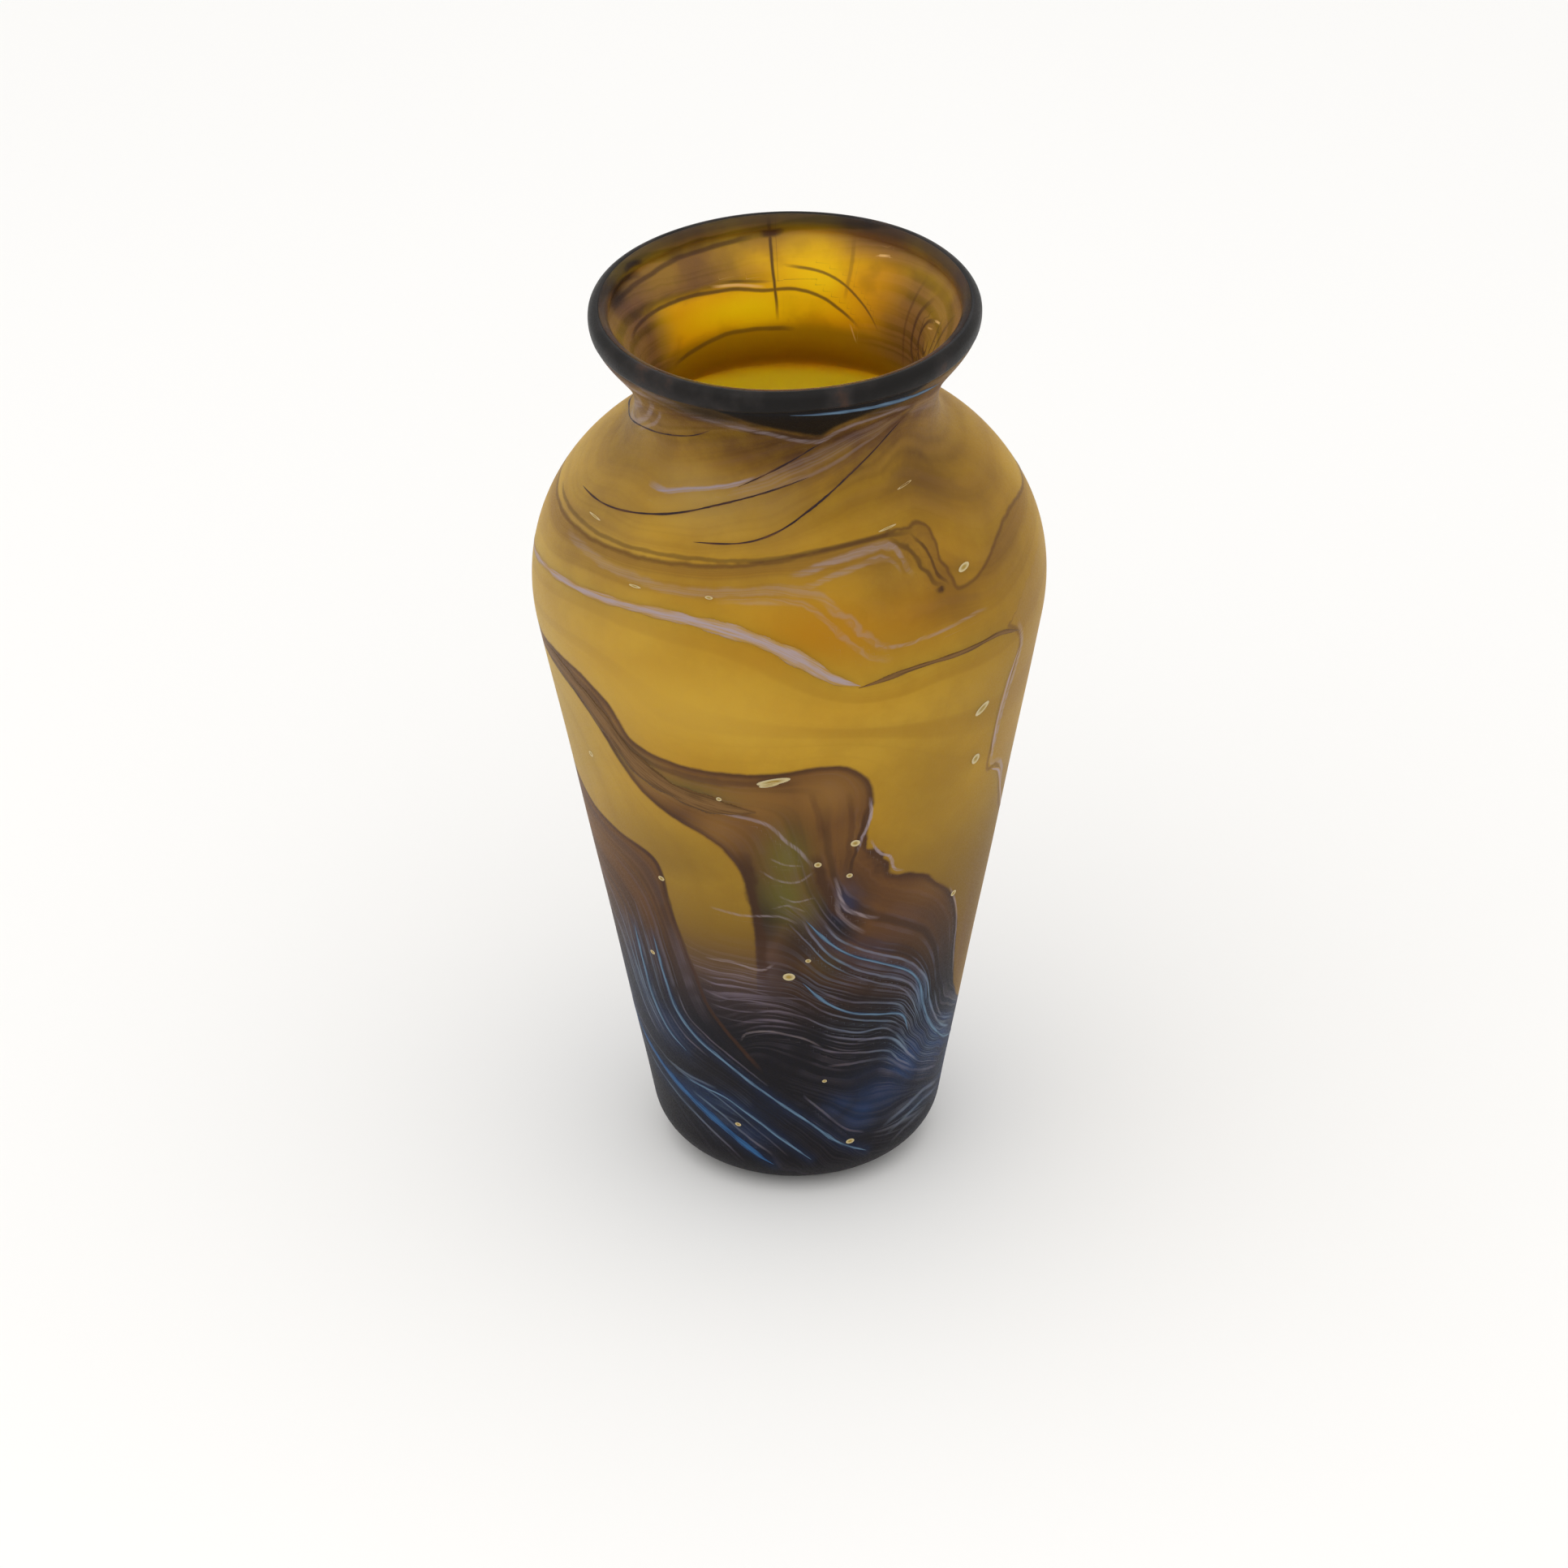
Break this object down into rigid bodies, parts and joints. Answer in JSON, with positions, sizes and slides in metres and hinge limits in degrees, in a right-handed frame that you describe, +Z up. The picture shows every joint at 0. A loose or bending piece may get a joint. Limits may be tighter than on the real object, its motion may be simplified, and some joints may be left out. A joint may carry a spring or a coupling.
{
  "type": "art glass vase",
  "caption": "Tall hand-blown baluster vase with a flared, dark-wrapped lip, amber and brown swirled glass with coloured trails, and a broken-off pontil mark under a flat-ringed base.",
  "frame": {"origin": "centre of the flat ring that the vase stands on", "axes": "+Z up along the vase's own axis, the front with the lilac ribbon and the amber window faces -Y"},
  "size_m": [0.1216, 0.1216, 0.23],
  "materials": {
    "amber_glass": "satin, translucent amber with brown swirls",
    "ink_glass": "satin, near black",
    "lilac_glass": "satin, milky lilac",
    "brown_glass": "satin, dark brown",
    "blue_glass": "satin, strong blue",
    "slate_glass": "satin, grey blue",
    "cloudy_glass": "rough, broken glass"
  },
  "bodies": {
    "root": {"vessel_wall": "amber_glass", "lip_wrap": "ink_glass", "pontil_scar": "cloudy_glass", "neck_blue_trail": "slate_glass", "neck_thread": "ink_glass", "shoulder_thread_high": "ink_glass", "shoulder_thread_mid": "ink_glass", "shoulder_thread_low": "ink_glass", "lilac_ribbon": "lilac_glass", "seam_thread": "brown_glass", "seam_fall": "lilac_glass", "seam_tail": "lilac_glass", "waist_band": "brown_glass", "foot_trail_1": "blue_glass", "foot_trail_2": "slate_glass", "foot_trail_3": "slate_glass", "foot_trail_4": "blue_glass", "pale_trail_1": "slate_glass", "pale_trail_2": "slate_glass", "back_ribbon": "lilac_glass", "back_band": "brown_glass", "back_blue_trail": "blue_glass"}
  },
  "joints": []
}
